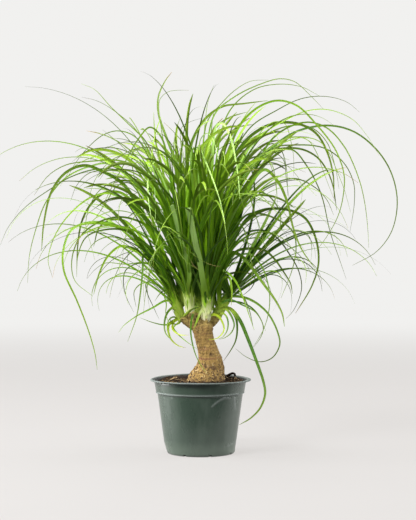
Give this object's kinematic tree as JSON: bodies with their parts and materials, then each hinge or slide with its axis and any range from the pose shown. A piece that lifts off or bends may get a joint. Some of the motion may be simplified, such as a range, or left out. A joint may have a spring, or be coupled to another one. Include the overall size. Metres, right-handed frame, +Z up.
{
  "type": "potted ponytail palm",
  "caption": "Potted ponytail palm: a leaning corky trunk branching into heads of long arching strap leaves, standing in soil in a round plastic nursery pot.",
  "frame": {"origin": "centre of the pot's flat underside, on the floor", "axes": "+Z up along the pot's axis, -Y towards the viewer of the picture, +X to the viewer's right"},
  "size_m": [0.6802, 0.7146, 0.6358],
  "materials": {
    "pot_plastic": "semi-gloss dark green moulded plastic",
    "soil": "loose dark potting mix with bark chips",
    "bark": "rough corky tan bark",
    "leaf": "satin green living leaf, paler at its base",
    "spent_leaf": "satin yellow ageing leaf"
  },
  "bodies": {
    "root": {"pot": "pot_plastic", "soil": "soil", "trunk": "bark", "head_left": "leaf", "head_middle": "leaf", "head_centre": "leaf", "head_right": "leaf", "head_back": "leaf", "spent_leaf_right": "spent_leaf", "spent_leaf_left": "spent_leaf", "spent_leaf_front": "spent_leaf"}
  },
  "joints": []
}
